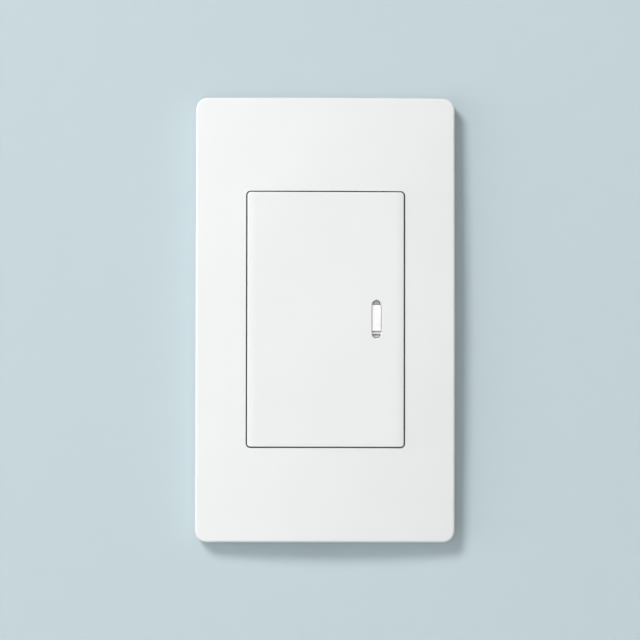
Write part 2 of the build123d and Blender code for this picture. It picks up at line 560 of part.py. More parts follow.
def blade_slope():
    """Angle of the blade's wings that brings them just clear of the cap at both ends of its swing."""
    tilt, swing = radians(BLADE_TILT), radians(ROCKER_TILT)
    centre = CAP_REACH - CAP_NOSE
    y = AXLE_Y + centre * cos(swing) - (KEEL_Y - BLADE_SHEET * cos(tilt))
    z = centre * sin(swing) - BLADE_SHEET * sin(tilt)
    want = CAP_NOSE + BLADE_CAP_GAP
    low, high = 0.0, radians(30)
    for _ in range(40):
        middle = (low + high) / 2
        if -y * cos(middle) - z * sin(middle) > want:
            low = middle
        else:
            high = middle
    return low + tilt


def make_moving_contact():
    """Sheet-metal blade with a shallow valley, a round keel behind it and an arm for the contact tip."""
    slope = tan(blade_slope())
    back = [(-2.4 * slope, 8.4), (-2.4 * slope, 2.4), (0, 0), (-2.4 * slope, -2.4), (-2.4 * slope, -4.6)]
    front = [(y - BLADE_SHEET, z) for y, z in reversed(back)]
    sheet = across(make_face(Polyline(*back, *front, close=True)), -2.5, 2.5)
    for side in (-1, 1):
        sheet -= block(sorted((side * 1.75, side * 3)), (-5, 5), (-1.0, 1.0))
    sheet -= rod(0.7, (0, -5, TIP_Z), (0, 5, TIP_Z))
    sheet += rod(KEEL_RADIUS, (-1.7, 0, 0), (1.7, 0, 0))
    return blade_place() * sheet


def make_moving_contact_tip():
    """Silver rivet through the end of the blade, domed where it touches."""
    depth = -2.4 * tan(blade_slope())
    dome = Pos(0, depth + 0.7 - 4, TIP_Z) * Sphere(4)
    tip = rod(1.3, (0, depth, TIP_Z), (0, depth + 0.7, TIP_Z)) & dome
    tip += rod(0.7, (0, depth - BLADE_SHEET, TIP_Z), (0, depth + 0.1, TIP_Z))
    tip += rod(1.0, (0, depth - BLADE_SHEET - 0.25, TIP_Z), (0, depth - BLADE_SHEET, TIP_Z))
    return blade_place() * tip


def tip_touch():
    """Depth and height of the moving tip's crown when the contacts are closed."""
    tilt = radians(BLADE_TILT)
    crown = -2.4 * tan(blade_slope()) + 0.7
    return KEEL_Y + crown * cos(tilt) + TIP_Z * sin(tilt), TIP_Z * cos(tilt) - crown * sin(tilt)


def make_fixed_contact_tip():
    """Silver rivet on the load terminal, facing the moving tip."""
    y, z = tip_touch()
    head = rod(1.3, (PLUNGER_X, y + FIT, z), (PLUNGER_X, y + 0.75, z))
    return head + rod(0.7, (PLUNGER_X, y + 0.7, z), (PLUNGER_X, y + 0.75 + TERMINAL_SHEET, z))


def clamp_strip(side):
    """Brass strip along the case wall that the wires are pressed against."""
    z = sorted((side * 8.4, side * (8.4 + TERMINAL_SHEET)))
    return block((-10.2, PLUNGER_X + 2.5), (18.0, 21.8), z) + block((-10.2, -0.6), (12.5, 21.8), z)


def make_load_terminal():
    y, z = tip_touch()
    seat = y + 0.75
    shelf = block((PLUNGER_X - 2.5, PLUNGER_X + 2.5), (seat, seat + TERMINAL_SHEET), (4.9, 9.2))
    return clamp_strip(1) + shelf - rod(0.7, (PLUNGER_X, 10, z), (PLUNGER_X, 30, z))


def make_common_terminal():
    """Brass strip with a cradle for the blade's keel, two horns beside it and an off-stop."""
    low, high = PLUNGER_X - 2.5, PLUNGER_X + 2.5
    shelf_front = KEEL_Y + 2.4
    fulcrum = block((low, high), (KEEL_Y + 0.02, shelf_front + 0.1), (-0.6, 0.6))
    for x in ((low, low + 0.6), (high - 0.6, high)):
        fulcrum += block(x, (KEEL_Y - 1.4, shelf_front), (-0.6, 0.6))
    shelf = block((low, high), (shelf_front, shelf_front + TERMINAL_SHEET), (-9.2, 0.4))
    fulcrum -= rod(KEEL_RADIUS + RUNNING, (low - 1, KEEL_Y, 0), (high + 1, KEEL_Y, 0))
    tilt = radians(BLADE_TILT)
    arm = -2.4 * tan(blade_slope())
    rest = KEEL_Y + arm * cos(tilt) + 4.6 * sin(tilt)
    stop = block((low + 1.2, high - 1.2), (rest + 0.03, shelf_front + 0.1), (-4.8, -4.0))
    return clamp_strip(-1) + shelf + fulcrum + stop


# ---------------------------------------------------------------- wire clamps and their buttons
def make_lock_springs(side):
    """Two bent steel strips, one for each wire: a contact leg, a back and a biting leg."""
    line = FilletPolyline((12.9, 8.0), (10.4, 5.6), (11.2, 2.95), (20.4, 2.95), (15.4, 7.9), radius=0.6)
    profile = trace(line, line_width=0.3)
    strips = [across(profile, x - 1.2, x + 1.2) for x in WIRE_X]
    pair = strips[0] + strips[1]
    return pair if side > 0 else mirror(pair, about=Plane.XY)


def make_release_button(side):
    """Slider between the two wires that bends both biting legs away when it is pushed in."""
    proud = MODULE_BACK + BUTTON_TRAVEL / 2
    shank = block((BUTTON_X - 1.15, BUTTON_X + 1.15), (19.75, proud), (3.2, 5.8))
    shank -= block((BUTTON_X - 2, BUTTON_X + 2), (18, BACK_WALL_FRONT - 0.1), (4.9, 7))
    collar = block((BUTTON_X - 1.35, BUTTON_X + 1.35), (21.4, BACK_WALL_FRONT - FIT), (3.2, 4.9))
    wings = block((-9.4, -2.0), (19.75, 20.85), (3.9, 4.9))
    groove = block((BUTTON_X - 0.9, BUTTON_X + 0.9), (MODULE_BACK + 0.1, MODULE_BACK + 1), (3.7, 4.3))
    button = shank + collar + wings - groove
    return button if side > 0 else mirror(button, about=Plane.XY)


PIECES = {
    "cover_plate": make_cover_plate,
    "plate_base": make_plate_base,
    "plate_screws": make_plate_screws,
    "mounting_frame": make_mounting_frame,
    "box_screws": make_box_screws,
    "handle_carrier": make_handle_carrier,
    "paddle": make_paddle,
    "indicator_lens": make_indicator_lens,
    "luminous_strip": make_luminous_strip,
    "module_cover": make_module_cover,
    "module_housing": make_module_housing,
    "plunger": make_plunger,
    "drive_finger": make_drive_finger,
    "return_springs": make_return_springs,
    "flip_rocker": make_flip_rocker,
    "rocker_axle": make_rocker_axle,
    "contact_cap": make_contact_cap,
    "contact_spring": make_contact_spring,
    "moving_contact": make_moving_contact,
    "moving_contact_tip": make_moving_contact_tip,
    "fixed_contact_tip": make_fixed_contact_tip,
    "load_terminal": make_load_terminal,
    "common_terminal": make_common_terminal,
    "lock_springs_load": lambda: make_lock_springs(1),
    "lock_springs_common": lambda: make_lock_springs(-1),
    "release_button_load": lambda: make_release_button(1),
    "release_button_common": lambda: make_release_button(-1),
}

if __name__ == "__main__":
    os.makedirs("parts", exist_ok=True)
    for name, make in PIECES.items():
        export_step(make(), f"parts/{name}.step")
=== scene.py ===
import json
from math import cos, pi, radians, sin, tau

import bmesh
import bpy
import numpy as np
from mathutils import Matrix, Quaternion, Vector


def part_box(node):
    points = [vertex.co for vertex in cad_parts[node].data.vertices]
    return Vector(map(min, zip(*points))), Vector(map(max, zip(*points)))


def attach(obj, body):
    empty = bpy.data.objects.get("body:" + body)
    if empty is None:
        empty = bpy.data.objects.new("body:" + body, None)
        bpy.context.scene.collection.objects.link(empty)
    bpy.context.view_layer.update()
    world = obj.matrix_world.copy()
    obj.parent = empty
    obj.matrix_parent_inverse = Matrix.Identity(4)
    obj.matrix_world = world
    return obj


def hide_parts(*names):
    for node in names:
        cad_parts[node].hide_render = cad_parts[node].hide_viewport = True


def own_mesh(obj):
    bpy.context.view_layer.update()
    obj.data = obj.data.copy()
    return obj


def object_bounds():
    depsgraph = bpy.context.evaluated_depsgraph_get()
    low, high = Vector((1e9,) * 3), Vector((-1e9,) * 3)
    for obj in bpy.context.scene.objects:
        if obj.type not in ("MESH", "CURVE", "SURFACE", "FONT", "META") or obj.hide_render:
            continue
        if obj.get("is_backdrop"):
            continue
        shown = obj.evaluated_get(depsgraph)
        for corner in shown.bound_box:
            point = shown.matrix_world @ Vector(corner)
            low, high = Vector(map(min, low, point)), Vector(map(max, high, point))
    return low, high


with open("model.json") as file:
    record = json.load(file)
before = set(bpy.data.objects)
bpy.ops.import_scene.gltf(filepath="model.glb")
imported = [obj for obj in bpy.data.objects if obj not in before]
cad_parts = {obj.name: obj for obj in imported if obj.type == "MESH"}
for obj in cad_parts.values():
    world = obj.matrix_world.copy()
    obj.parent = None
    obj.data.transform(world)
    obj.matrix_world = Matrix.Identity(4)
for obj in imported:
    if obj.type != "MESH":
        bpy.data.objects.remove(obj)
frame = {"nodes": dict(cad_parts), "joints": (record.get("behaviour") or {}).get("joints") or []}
cad_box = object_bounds()
nodes = frame["nodes"]

# A one-gang wall switch with one wide paddle. The file follows it from the wall box outwards: the steel
# frame and its screws, the switch module, the carrier and plate base, then the cover, paddle and lens.
# Lengths are in metres. X runs across the switch, Y into the wall and Z up, and the wall is at y = 0.
MM = 0.001


# ---------------------------------------------------------------- mounting frame
# A strap pressed from 1.2 mm sheet steel that is galvanised before it is cut. The zinc freezes in
# flat crystals a few millimetres across, each with its own gloss, and the sheared edges stay duller.
class Flow:
    """A value that runs through one material's nodes. Arithmetic on it adds its Math nodes."""

    def __init__(self, tree, socket=None):
        self.tree = tree
        self.socket = socket

    def node(self, kind, settings=None, sockets=None, outlet=0):
        """Adds a node of that kind: its settings first, then the values or links of its sockets."""
        made = self.tree.nodes.new("ShaderNode" + kind)
        for name, value in (settings or {}).items():
            setattr(made, name, value)
        for name, value in (sockets or {}).items():
            if isinstance(value, Flow):
                self.tree.links.new(value.socket, made.inputs[name])
            else:
                made.inputs[name].default_value = value
        return Flow(self.tree, made.outputs[outlet])

    def maths(self, operation, *others):
        """One Math node on this value, and on others where the operation takes them."""
        return self.node("Math", {"operation": operation}, dict(enumerate((self,) + others)))

    def __add__(self, other):
        return self.maths("ADD", other)

    def __sub__(self, other):
        return self.maths("SUBTRACT", other)

    def __rsub__(self, other):
        return self.maths("MULTIPLY", -1.0).maths("ADD", other)

    def __mul__(self, other):
        return self.maths("MULTIPLY", other)

    __radd__ = __add__
    __rmul__ = __mul__


def new_material(name):
    """A material with one Principled shader, and the piece's own coordinates as a flow."""
    material = bpy.data.materials.new(name)
    material.use_nodes = True
    place = Flow(material.node_tree).node("TexCoord", outlet="Object")
    return material, place


def set_shader(material, sockets):
    """Sets sockets of the material's Principled shader, each to a number, a colour or a flow."""
    shader = material.node_tree.nodes["Principled BSDF"]
    for name, value in sockets.items():
        if isinstance(value, Flow):
            material.node_tree.links.new(value.socket, shader.inputs[name])
        else:
            shader.inputs[name].default_value = value


def noise(place, size, detail=2.0, stretch=(1, 1, 1)):
    """Soft random values about 0.5, in lumps of that size. A stretch under 1 draws them out that way."""
    drawn = place.node("VectorMath", {"operation": "MULTIPLY"}, {0: place, 1: stretch})
    return drawn.node("TexNoise", {}, {"Vector": drawn, "Scale": 1 / size, "Detail": detail})


def steps(value, low, high):
    """0 below low, 1 above high, and a smooth step between them."""
    limits = {"Value": value, "From Min": low, "From Max": high}
    return value.node("MapRange", {"interpolation_type": "SMOOTHSTEP"}, limits)


def mix(share, first, second):
    """The first colour where share is 0 and the second where it is 1."""
    sockets = {"Factor": share, 6: first, 7: second}
    return share.node("Mix", {"data_type": "RGBA"}, sockets, outlet=2)


def rounded(place, radius):
    """The surface's normal, turned round along the edges as if they had that radius."""
    return place.node("Bevel", {"samples": 6}, {"Radius": radius})


def edges(place, radius):
    """1 along sharp edges and 0 on the faces: how far the rounded normal turns from the true one."""
    true = place.node("NewGeometry", outlet="Normal")
    sockets = {0: rounded(place, radius), 1: true}
    agreement = place.node("VectorMath", {"operation": "DOT_PRODUCT"}, sockets, outlet="Value")
    return steps(agreement, 0.99, 0.80)


def bump(height, depth, normal=None):
    """The normal of a surface that is uneven by that height, from 0 to 1, times that depth."""
    sockets = {"Height": height, "Distance": depth}
    if normal is not None:
        sockets["Normal"] = normal
    return height.node("Bump", {}, sockets)


def coat(material, *names):
    """Gives those CAD nodes the material in place of their plain one."""
    for name in names:
        nodes[name].data.materials.clear()
        nodes[name].data.materials.append(material)


def galvanised_steel():
    """Zinc crystals in Voronoi cells, each with a random tone and gloss, over faint rolling lines."""
    material, place = new_material("galvanised_steel")
    crystal_size = 2.6 * MM
    crystals = place.node("TexVoronoi", {}, {"Vector": place, "Scale": 1 / crystal_size}, outlet="Color")
    tone = crystals.node("SeparateColor", {}, {"Color": crystals})
    rolling = noise(place, 0.25 * MM, 3, (1, 1, 0.06))
    sheared = edges(place, 0.25 * MM)
    zinc = mix(tone, (0.56, 0.58, 0.60, 1), (0.67, 0.69, 0.70, 1))
    set_shader(material, {
        "Base Color": mix(sheared, zinc, (0.36, 0.36, 0.35, 1)),
        "Metallic": 1.0,
        "Roughness": 0.32 + 0.12 * tone + 0.10 * rolling + 0.12 * sheared,
        "Normal": bump(rolling + 0.3 * tone, 4e-6, rounded(place, 0.2 * MM)),
    })
    return material


coat(galvanised_steel(), "mounting_frame")


# ---------------------------------------------------------------- screws
# Cold-headed steel machine screws with pan heads, cross recesses and rolled threads, zinc plated.
# Two M4 screws hold the frame on the wall box, and two smaller ones hold the plate base on the frame.
CREASE = radians(35)         # a mesh's edges that bend by more than this stay sharp
TINY = 1e-12                 # keeps a division off zero


def closed_tube(name, rings):
    """Mesh over a row of closed rings, a (rings, points, 3) array, with a fan that closes each end."""
    count, around = rings.shape[:2]
    ends = [rings[0].mean(axis=0), rings[-1].mean(axis=0)]
    points = np.vstack([rings.reshape(-1, 3), ends])
    here = np.arange(count * around).reshape(count, around)
    beside = np.roll(here, -1, axis=1)
    quads = np.stack([here[:-1], beside[:-1], beside[1:], here[1:]], axis=-1).reshape(-1, 4)
    first = np.full(around, count * around)
    fans = [np.stack([beside[0], here[0], first], axis=-1),
            np.stack([here[-1], beside[-1], first + 1], axis=-1)]
    mesh = bpy.data.meshes.new(name)
    mesh.from_pydata(points.tolist(), [], quads.tolist() + np.vstack(fans).tolist())
    work = bmesh.new()
    work.from_mesh(mesh)
    bmesh.ops.recalc_face_normals(work, faces=work.faces)
    work.to_mesh(mesh)
    work.free()
    mesh.shade_smooth()
    mesh.set_sharp_from_angle(angle=CREASE)
    return mesh


def one_piece(name, meshes, material):
    """One object that holds all those meshes as separate shells."""
    work = bmesh.new()
    for mesh in meshes:
        work.from_mesh(mesh)
    whole = bpy.data.meshes.new(name)
    work.to_mesh(whole)
    work.free()
    whole.materials.append(material)
    made = bpy.data.objects.new(name, whole)
    bpy.context.scene.collection.objects.link(made)
    return made


def cross_outline(angle, half_length, half_width):
    """Radius of a cross's outline at each angle: the farther edge of its two crossed bars."""
    across, up = np.abs(np.cos(angle)) + TINY, np.abs(np.sin(angle)) + TINY
    level = np.minimum(half_length / across, half_width / up)
    upright = np.minimum(half_width / across, half_length / up)
    return np.maximum(level, upright)


def thread_height(depth, angle, pitch):
    """0 at the root and 1 at the crest of a 60 degree thread that climbs one pitch a turn. An eighth of
    each pitch is flat crest and a quarter is flat root, and the flanks are straight between them."""
    turn = (depth / pitch - angle / tau) % 1.0
    from_crest = np.abs(turn - 0.5)
    crest_edge, root_edge = 1 / 16, 3 / 8
    return np.clip((root_edge - from_crest) / (root_edge - crest_edge), 0, 1)


THREAD_STEPS = 10            # rings in each pitch of a thread


def screw_mesh(name, seat, tip, head, shank, recess, pitch, height):
    """Screw along Y. Every ring is a radius at each angle, from the recess's floor out over the head,
    down its side, in under it to the neck and along the thread to the tip."""
    head_radius, head_height, rounding = head
    root, crest, start = shank
    half_length, half_width, floor = recess
    bar_end = np.arctan(half_width / half_length)
    quarter = np.concatenate([np.linspace(0, bar_end, 4)[:-1], np.linspace(bar_end, pi / 4, 6)])
    quarter = np.concatenate([quarter, pi / 2 - quarter[-2:0:-1]])
    angle = np.concatenate([quarter + turn * pi / 2 for turn in range(4)])
    cross = cross_outline(angle, half_length, half_width)
    even = np.ones_like(angle)
    front, flat = seat - head_height, head_radius - rounding
    rows = [(share * cross, (front + floor) * even) for share in (0.5, 0.9)]     # it narrows to its floor
    rows += [(cross + share * (flat - cross), front * even) for share in (0, 0.12, 0.5, 1)]
    for bend in np.linspace(0, pi / 2, 7)[1:]:
        rows.append(((flat + rounding * sin(bend)) * even, (front + rounding * (1 - cos(bend))) * even))
    rows.append((head_radius * even, seat * even))
    rows.append((root * even, seat * even))
    depth = np.arange(start - pitch, tip, pitch / THREAD_STEPS)
    deep, round_it = np.meshgrid(depth, angle, indexing="ij")
    fade = np.clip((deep - start) / pitch + 1, 0, 1)
    radius = root + (crest - root) * fade * thread_height(deep - start, round_it, pitch)
    point = crest - 1.1 * pitch           # radius at the tip, which widens at 45 degrees from there
    radius = np.minimum(radius, point + (tip - deep))
    rows += zip(radius, deep)
    radii, depths = np.array(rows).swapaxes(0, 1)
    rings = np.stack([radii * np.cos(angle), depths, height + radii * np.sin(angle)], axis=-1)
    return closed_tube(name, rings)


def plated_steel():
    """Bright zinc with a faint blue and yellow cast from its passivation, scuffed at the edges."""
    material, place = new_material("zinc_plate")
    cast = noise(place, 1.5 * MM, 2)
    grain = noise(place, 0.12 * MM, 2)
    scuffs = edges(place, 0.15 * MM)
    zinc = mix(steps(cast, 0.35, 0.65), (0.62, 0.64, 0.67, 1), (0.68, 0.66, 0.60, 1))
    set_shader(material, {
        "Base Color": mix(scuffs, zinc, (0.74, 0.74, 0.73, 1)),
        "Metallic": 1.0,
        "Roughness": 0.22 + 0.18 * cast + 0.06 * grain,
        "Normal": bump(grain, 3e-6, rounded(place, 0.08 * MM)),
    })
    return material


# In mm, for each pair: where the head's underside sits, the head's radius, height and rounding, the
# thread's root and crest radius and where it starts, half the length and half the width of the recess's
# bars and its depth, and the pitch.
SCREWS = (("box_screws", -1.2, (3.6, 2.4, 1.1), (1.62, 2.0, 0.7), (2.0, 0.45, 1.5), 0.7),
          ("plate_screws", -3.0, (2.75, 1.6, 0.7), (1.40, 1.70, -2.2), (1.5, 0.35, 0.7), 0.6))
zinc_plate = plated_steel()
for name, seat, *sizes, pitch in SCREWS:
    low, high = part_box(name)
    head, shank, recess = np.array(sizes) * MM
    screw_height = high.z - head[0]
    meshes = [screw_mesh(name, seat * MM, high.y, head, shank, recess, pitch * MM, side * screw_height)
              for side in (-1, 1)]
    screws = one_piece(name + "_threaded", meshes, zinc_plate)
    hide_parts(name)
    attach(screws, "wall_body")


# ---------------------------------------------------------------- module case
# Two urea mouldings. The dark rear half holds the works and the wire holes, and the pale front half
# snaps over it. Both come from spark-eroded moulds, which leave a fine even grain on every face.
def moulded(name, colour, roughness, grain, cloud=0.03):
    """Moulded plastic: a fine grain, a slow drift of gloss and shade, and edges made a little lighter,
    partly as rubbing wear and partly as a painted highlight.
    """
    material, place = new_material(name)
    soft = 0.15 * MM                      # radius of its edges
    drift = noise(place, 14 * MM, 3)
    fine = noise(place, 0.16 * MM, 2)
    flow_marks = noise(place, 2.5 * MM, 3, (1, 1, 0.35))
    wear_and_highlight = edges(place, soft)
    darker = tuple(channel * (1 - 2 * cloud) for channel in colour[:3]) + (1,)
    edge_wear_and_highlight_colour = tuple(min(1, channel * (1 + cloud) + 0.01) for channel in colour[:3]) + (1,)
    shade = mix(steps(drift, 0.3, 0.7), darker, colour)
    set_shader(material, {
        # Lighter along the edges: partly rubbing wear, partly a painted highlight.
        "Base Color": mix(0.6 * wear_and_highlight, shade, edge_wear_and_highlight_colour),
        "Roughness": roughness + 0.10 * (drift - 0.5) + 0.05 * (fine - 0.5) - 0.08 * wear_and_highlight,
        "Specular IOR Level": 0.5,
        "Normal": bump(fine * grain + 0.8 * flow_marks, 6e-6, rounded(place, soft)),
    })
    return material


coat(moulded("dark_urea", (0.052, 0.053, 0.056, 1), 0.46, 1.6), "module_housing")
coat(moulded("pale_urea", (0.62, 0.61, 0.58, 1), 0.44, 1.2), "module_cover")


# ---------------------------------------------------------------- contacts and terminals
# Terminals and the rocking blade are stamped from brass strip. The contact tips are silver alloy
# rivets, domed and clinched, with a light bloom of tarnish.
def stamped_brass():
    """Rolled strip with lines along it, slow patches of tarnish, and bright sheared edges."""
    material, place = new_material("stamped_brass")
    lines = noise(place, 0.10 * MM, 3, (0.05, 1, 1))
    tarnish = noise(place, 3.0 * MM, 3)
    sheared = edges(place, 0.12 * MM)
    patched = mix(steps(tarnish, 0.45, 0.80), (0.80, 0.60, 0.30, 1), (0.66, 0.45, 0.20, 1))
    set_shader(material, {
        "Base Color": mix(0.7 * sheared, patched, (0.90, 0.72, 0.40, 1)),
        "Metallic": 1.0,
        "Roughness": 0.24 + 0.20 * tarnish + 0.08 * lines,
        "Normal": bump(lines, 2e-6, rounded(place, 0.08 * MM)),
    })
    return material


def contact_silver():
    """Satin silver with a fine pressed grain and a light sulphide bloom."""
    material, place = new_material("contact_silver")
    grain = noise(place, 0.06 * MM, 2)
    bloom = noise(place, 0.9 * MM, 2)
    set_shader(material, {
        "Base Color": mix(steps(bloom, 0.4, 0.75), (0.88, 0.87, 0.85, 1), (0.66, 0.62, 0.57, 1)),
        "Metallic": 1.0,
        "Roughness": 0.20 + 0.22 * bloom,
        "Normal": bump(grain, 2e-6, rounded(place, 0.06 * MM)),
    })
    return material


coat(stamped_brass(), "moving_contact", "load_terminal", "common_terminal")
coat(contact_silver(), "moving_contact_tip", "fixed_contact_tip")


# ---------------------------------------------------------------- axle and lock springs
# The rocker's axle is a cut length of drawn steel pin. Each wire lock is a strip of spring steel,
# bent hard, whose biting leg a release button pushes aside.
def spring_steel():
    """Cold-drawn stainless: fine draw lines, and a straw cast left by the stress relief."""
    material, place = new_material("spring_steel")
    drawn = noise(place, 0.08 * MM, 3)
    heat = noise(place, 2.0 * MM, 2)
    set_shader(material, {
        "Base Color": mix(steps(heat, 0.35, 0.75), (0.58, 0.58, 0.57, 1), (0.50, 0.44, 0.34, 1)),
        "Metallic": 1.0,
        "Roughness": 0.20 + 0.16 * heat + 0.06 * drawn,
        "Normal": bump(drawn, 2e-6, rounded(place, 0.05 * MM)),
    })
    return material


ARC_POINTS = 8               # on each bend of a strip


def bent_line(corners, radius):
    """Rows of (y, z) along a line whose corners are rounded. Each arc touches its two runs at
    radius / tan(a / 2) from the corner, where a is the angle between them, and its hub is
    radius / sin(a / 2) away on the line that halves them."""
    corners = np.array(corners)
    rows = [corners[:1]]
    for before, corner, after in zip(corners, corners[1:], corners[2:]):
        back = (before - corner) / np.linalg.norm(before - corner)
        ahead = (after - corner) / np.linalg.norm(after - corner)
        half = np.arccos(back @ ahead) / 2
        hub = corner + (back + ahead) / np.linalg.norm(back + ahead) * radius / np.sin(half)
        run = radius / np.tan(half)
        first, last = corner + back * run - hub, corner + ahead * run - hub
        share = np.linspace(0, 1, ARC_POINTS)[:, None]
        turn = pi - 2 * half
        rows.append(hub + (np.sin((1 - share) * turn) * first + np.sin(share * turn) * last) / np.sin(turn))
    rows.append(corners[-1:])
    return np.vstack(rows)


def strip_mesh(name, line, thickness, x, width):
    """Flat strip along a line: at each point a rectangle, half the thickness to either side of the
    line, square to the mean direction of the two runs that meet there."""
    runs = np.diff(line, axis=0)
    runs = runs / np.linalg.norm(runs, axis=1, keepdims=True)
    along = np.vstack([runs[:1], runs[:-1] + runs[1:], runs[-1:]])
    along = along / np.linalg.norm(along, axis=1, keepdims=True)
    side = thickness / 2 * np.stack([-along[:, 1], along[:, 0]], axis=1)
    rings = np.empty((len(line), 4, 3))
    rings[:, :, 0] = x + width / 2 * np.array([-1, 1, 1, -1])
    rings[:, :2, 1:] = (line + side)[:, None]
    rings[:, 2:, 1:] = (line - side)[:, None]
    return closed_tube(name, rings)


steel = spring_steel()
coat(steel, "rocker_axle")
LOCK_CORNERS = [(12.9, 8.0), (10.4, 5.6), (11.2, 2.95), (20.4, 2.95), (15.4, 7.9)]   # mm, contact leg first
LOCK_THICKNESS, LOCK_WIDTH, LOCK_BEND = 0.3 * MM, 2.4 * MM, 0.6 * MM
WIRES_X = (-8.2 * MM, -3.2 * MM)
for end, side in (("load", 1), ("common", -1)):
    line = bent_line(np.array(LOCK_CORNERS) * MM, LOCK_BEND) * np.array([1, side])
    strips = [strip_mesh("lock_strip", line, LOCK_THICKNESS, x, LOCK_WIDTH) for x in WIRES_X]
    locks = one_piece("lock_springs_" + end + "_bent", strips, steel)
    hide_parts("lock_springs_" + end)
    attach(locks, "wall_body")
    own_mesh(locks)


# ---------------------------------------------------------------- nylon working parts
# The plunger, finger, rocker, contact cap and release buttons are small natural nylon mouldings: slightly
# waxy, faintly warm, and polished where they rub, with their edges also lightened as a painted highlight.
def natural_nylon():
    """Waxy off-white with a faint cloudy depth, and edges made lighter, partly as rubbing wear and partly as
    a painted highlight.
    """
    material, place = new_material("natural_nylon")
    cloud = noise(place, 2.4 * MM, 2)
    fine = noise(place, 0.10 * MM, 2)
    wear_and_highlight = edges(place, 0.15 * MM)
    natural = mix(steps(cloud, 0.3, 0.7), (0.76, 0.74, 0.67, 1), (0.80, 0.79, 0.73, 1))
    set_shader(material, {
        # Lighter along the edges: partly rubbing wear, partly a painted highlight.
        "Base Color": mix(0.5 * wear_and_highlight, natural, (0.86, 0.85, 0.80, 1)),
        "Roughness": 0.36 + 0.10 * cloud - 0.10 * wear_and_highlight,
        "Specular IOR Level": 0.55,
        "Normal": bump(fine + 0.3 * cloud, 4e-6, rounded(place, 0.12 * MM)),
    })
    return material


coat(natural_nylon(), "plunger", "drive_finger", "flip_rocker", "contact_cap",
     "release_button_load", "release_button_common")


# ---------------------------------------------------------------- coil springs
# Cold-wound compression springs with closed ends. Two lift the plunger off the ledges of the case, and a
# small one in the rocker's sleeve presses the cap on the blade.
TURN_STEPS, WIRE_SIDES = 28, 12           # rings in each turn of a coil, and points round its wire


def coil_mesh(name, radius, wire, live_turns, start, end):
    """Round wire wound between two points: the climb per turn is one wire thickness over the closed end
    turns and even between them, and each ring of the wire lies in the plane through the spring's axis."""
    start, end = np.array(start), np.array(end)
    length = np.linalg.norm(end - start)
    along = (end - start) / length
    side = np.array([1.0, 0.0, 0.0])
    other = np.cross(along, side)
    turns = np.linspace(0, live_turns + 2, int((live_turns + 2) * TURN_STEPS) + 1)
    live_climb = length - wire - 2 * wire         # less half a wire at each end, and two closed turns
    climb = wire / 2 + wire * np.clip(turns, 0, 1) + wire * np.clip(turns - live_turns - 1, 0, 1)
    climb = climb + live_climb * np.clip((turns - 1) / live_turns, 0, 1)
    angle = tau * turns
    outward = np.cos(angle)[:, None] * side + np.sin(angle)[:, None] * other
    centre = start + radius * outward + climb[:, None] * along
    bend = np.linspace(0, tau, WIRE_SIDES, endpoint=False)
    spread = np.cos(bend)[None, :, None] * outward[:, None] + np.sin(bend)[None, :, None] * along
    return closed_tube(name, centre[:, None] + wire / 2 * spread)


RETURN_RADIUS, RETURN_WIRE, RETURN_TURNS = 1.3 * MM, 0.4 * MM, 4.5
RETURN_HEIGHT = 5.5 * MM                  # one above the middle of the module and one below it
joints = {joint["name"]: joint for joint in frame["joints"]}
low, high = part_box("return_springs")
spring_x = (low.x + high.x) / 2
meshes = [coil_mesh("return_spring", RETURN_RADIUS, RETURN_WIRE, RETURN_TURNS,
                    (spring_x, low.y, z), (spring_x, high.y, z)) for z in (-RETURN_HEIGHT, RETURN_HEIGHT)]
return_springs = one_piece("return_springs_wound", meshes, steel)
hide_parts("return_springs")
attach(return_springs, "wall_body")
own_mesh(return_springs)

CONTACT_RADIUS, CONTACT_WIRE, CONTACT_TURNS = 0.8 * MM, 0.3 * MM, 2.5
SEAT_REACH, CONTACT_LENGTH = 1.6 * MM, 2.0 * MM      # from the axle's middle to the seat, and on to the cap
slide = joints["cap_slide"]
axle, sleeve = np.array(joints["rocker_flip"]["pos_m"]), np.array(slide["axis"])
seat = axle + SEAT_REACH * sleeve
cap_back = seat + CONTACT_LENGTH * sleeve
mesh = coil_mesh("contact_spring", CONTACT_RADIUS, CONTACT_WIRE, CONTACT_TURNS, seat, cap_back)
contact_spring = one_piece("contact_spring_wound", [mesh], steel)
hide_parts("contact_spring")
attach(contact_spring, "rocker")
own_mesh(contact_spring)


# ---------------------------------------------------------------- carrier and plate base
# Two white ABS mouldings that the finished switch hides: the carrier that holds the module and hinges
# the paddle, and the base that lies on the wall and takes the cover's catches. Both are plain and matt.
coat(moulded("white_abs", (0.70, 0.70, 0.68, 1), 0.50, 1.4, cloud=0.02), "handle_carrier", "plate_base")


# ---------------------------------------------------------------- cover plate and paddle
# Compression-moulded white urea, polished in the mould to a satin gloss: hard, clean, and so slightly
# uneven that a reflection bends in it. The cover snaps on to its base, and the paddle on to its hinge.

# Radii across and down, then how far from the middle the shoulders start and their radius. The cover
# has none, so its own would start far outside it.
COVER_CROWN = (323 * MM, 1286 * MM, 1.0, 1.0)
PADDLE_CROWN = (900 * MM, 2600 * MM, 18.77 * MM, 12 * MM)


def crown_normal(place, across, down, shoulder, shoulder_radius):
    """Normal of a crowned face: it leans out by x / across and z / down, and past the shoulder by a
    further (|x| - shoulder) / shoulder_radius. Where the surface turns off the crown, its own normal."""
    x, z = [place.node("SeparateXYZ", {}, {"Vector": place}, outlet=axis) for axis in (0, 2)]
    past = (x.maths("ABSOLUTE") - shoulder).maths("MAXIMUM", 0.0)
    lean = x * (1 / across) + past * x.maths("SIGN") * (1 / shoulder_radius)
    drawn = place.node("CombineXYZ", {}, {"X": lean, "Y": -1.0, "Z": z * (1 / down)})
    crown = drawn.node("VectorMath", {"operation": "NORMALIZE"}, {0: drawn})
    true = place.node("NewGeometry", outlet="True Normal")
    own = place.node("NewGeometry", outlet="Normal")
    agreement = place.node("VectorMath", {"operation": "DOT_PRODUCT"}, {0: crown, 1: true}, outlet="Value")
    sockets = {"Factor": steps(agreement, 0.990, 0.997), 4: own, 5: crown}
    return place.node("Mix", {"data_type": "VECTOR"}, sockets, outlet=1)


